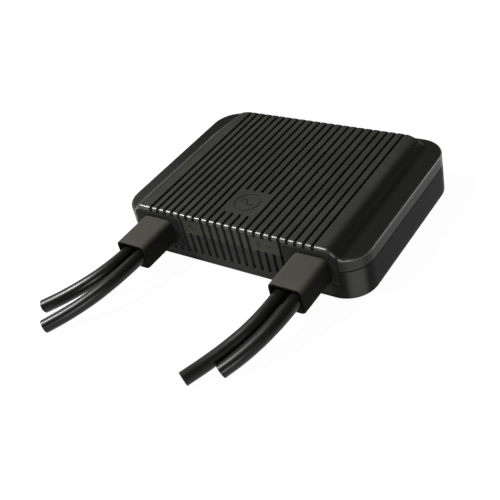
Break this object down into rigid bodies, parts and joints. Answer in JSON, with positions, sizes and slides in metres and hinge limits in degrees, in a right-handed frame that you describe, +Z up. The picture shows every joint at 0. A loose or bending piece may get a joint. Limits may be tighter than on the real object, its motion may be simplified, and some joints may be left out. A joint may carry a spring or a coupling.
{
  "type": "micro inverter",
  "caption": "Flat sealed box with a finned cover, rounded corners, two rubber cable boots on the front and a pair of short round leads out of each.",
  "frame": {"origin": "centre of the housing's flat underside, without the cable boots and leads", "axes": "+Z up out of the finned cover, +X along the front face, the cable boots and leads leave towards -Y"},
  "size_m": [0.1327, 0.1552, 0.0254],
  "materials": {
    "cover_paint": "satin, fine grain",
    "base_paint": "satin",
    "gasket_rubber": "matte",
    "plate_plastic": "matte",
    "boot_rubber": "matte",
    "nylon": "matte",
    "lead_jacket": "satin",
    "board_laminate": "satin solder mask",
    "bare_aluminium": "milled",
    "tinned_can": "satin",
    "thermal_pad": "matte",
    "ferrite": "matte",
    "copper_wire": "enamelled wire",
    "capacitor_sleeve": "satin sleeve",
    "film_case": "satin",
    "relay_case": "satin",
    "chip_package": "matte",
    "terminal_plastic": "satin",
    "screw_steel": "zinc plated"
  },
  "bodies": {
    "root": {"base_shell": "base_paint", "board_screw_1": "screw_steel", "board_screw_2": "screw_steel", "board_screw_3": "screw_steel", "board_screw_4": "screw_steel", "circuit_board": "board_laminate", "controller_chip": "chip_package", "cover_gasket": "gasket_rubber", "cover_screw_1": "screw_steel", "cover_screw_2": "screw_steel", "cover_screw_3": "screw_steel", "cover_screw_4": "screw_steel", "film_capacitor_1": "film_case", "film_capacitor_2": "film_case", "front_gasket": "gasket_rubber", "grid_lead_live": "lead_jacket", "grid_lead_neutral": "lead_jacket", "grid_relay": "relay_case", "heat_spreader": "bare_aluminium", "input_capacitor_1": "capacitor_sleeve", "input_capacitor_2": "capacitor_sleeve", "input_capacitor_3": "capacitor_sleeve", "input_capacitor_4": "capacitor_sleeve", "left_cable_boot": "boot_rubber", "left_cable_clamp": "nylon", "left_gland_plate": "plate_plastic", "left_terminal_block": "terminal_plastic", "output_choke_core": "ferrite", "output_choke_winding": "copper_wire", "panel_lead_negative": "lead_jacket", "panel_lead_positive": "lead_jacket", "power_switch_1": "chip_package", "power_switch_2": "chip_package", "power_switch_3": "chip_package", "power_switch_4": "chip_package", "right_cable_boot": "boot_rubber", "right_cable_clamp": "nylon", "right_gland_plate": "plate_plastic", "right_terminal_block": "terminal_plastic", "signal_module": "tinned_can", "thermal_pad": "thermal_pad", "top_cover": "cover_paint", "transformer_bobbin": "nylon", "transformer_core_lower": "ferrite", "transformer_core_upper": "ferrite", "transformer_winding": "copper_wire"}
  },
  "joints": []
}
